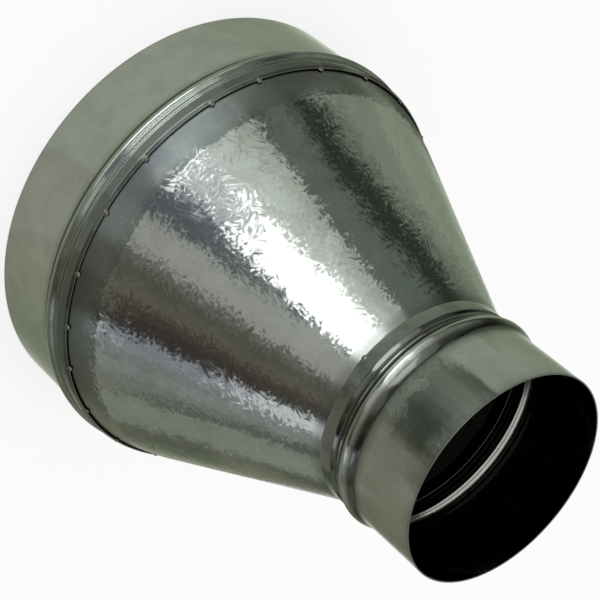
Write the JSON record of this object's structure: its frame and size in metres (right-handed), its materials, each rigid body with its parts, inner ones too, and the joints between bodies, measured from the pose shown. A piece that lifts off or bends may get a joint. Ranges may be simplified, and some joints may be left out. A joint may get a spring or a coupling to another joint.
{
  "type": "duct reducer",
  "caption": "Round concentric duct reducer in galvanised sheet steel: two beaded collars tack welded to a cone, standing on the large end.",
  "frame": {"origin": "centre of the open rim of the large collar, which the reducer stands on", "axes": "+Z along the duct's axis, from the large end to the small end; -Y is the side seen from the front"},
  "size_m": [0.2032, 0.2032, 0.2203],
  "materials": {
    "galvanised_steel": "bright zinc coating with a faint crystal pattern"
  },
  "bodies": {
    "root": {"large_collar": "galvanised_steel", "cone_body": "galvanised_steel", "small_collar": "galvanised_steel"}
  },
  "joints": []
}
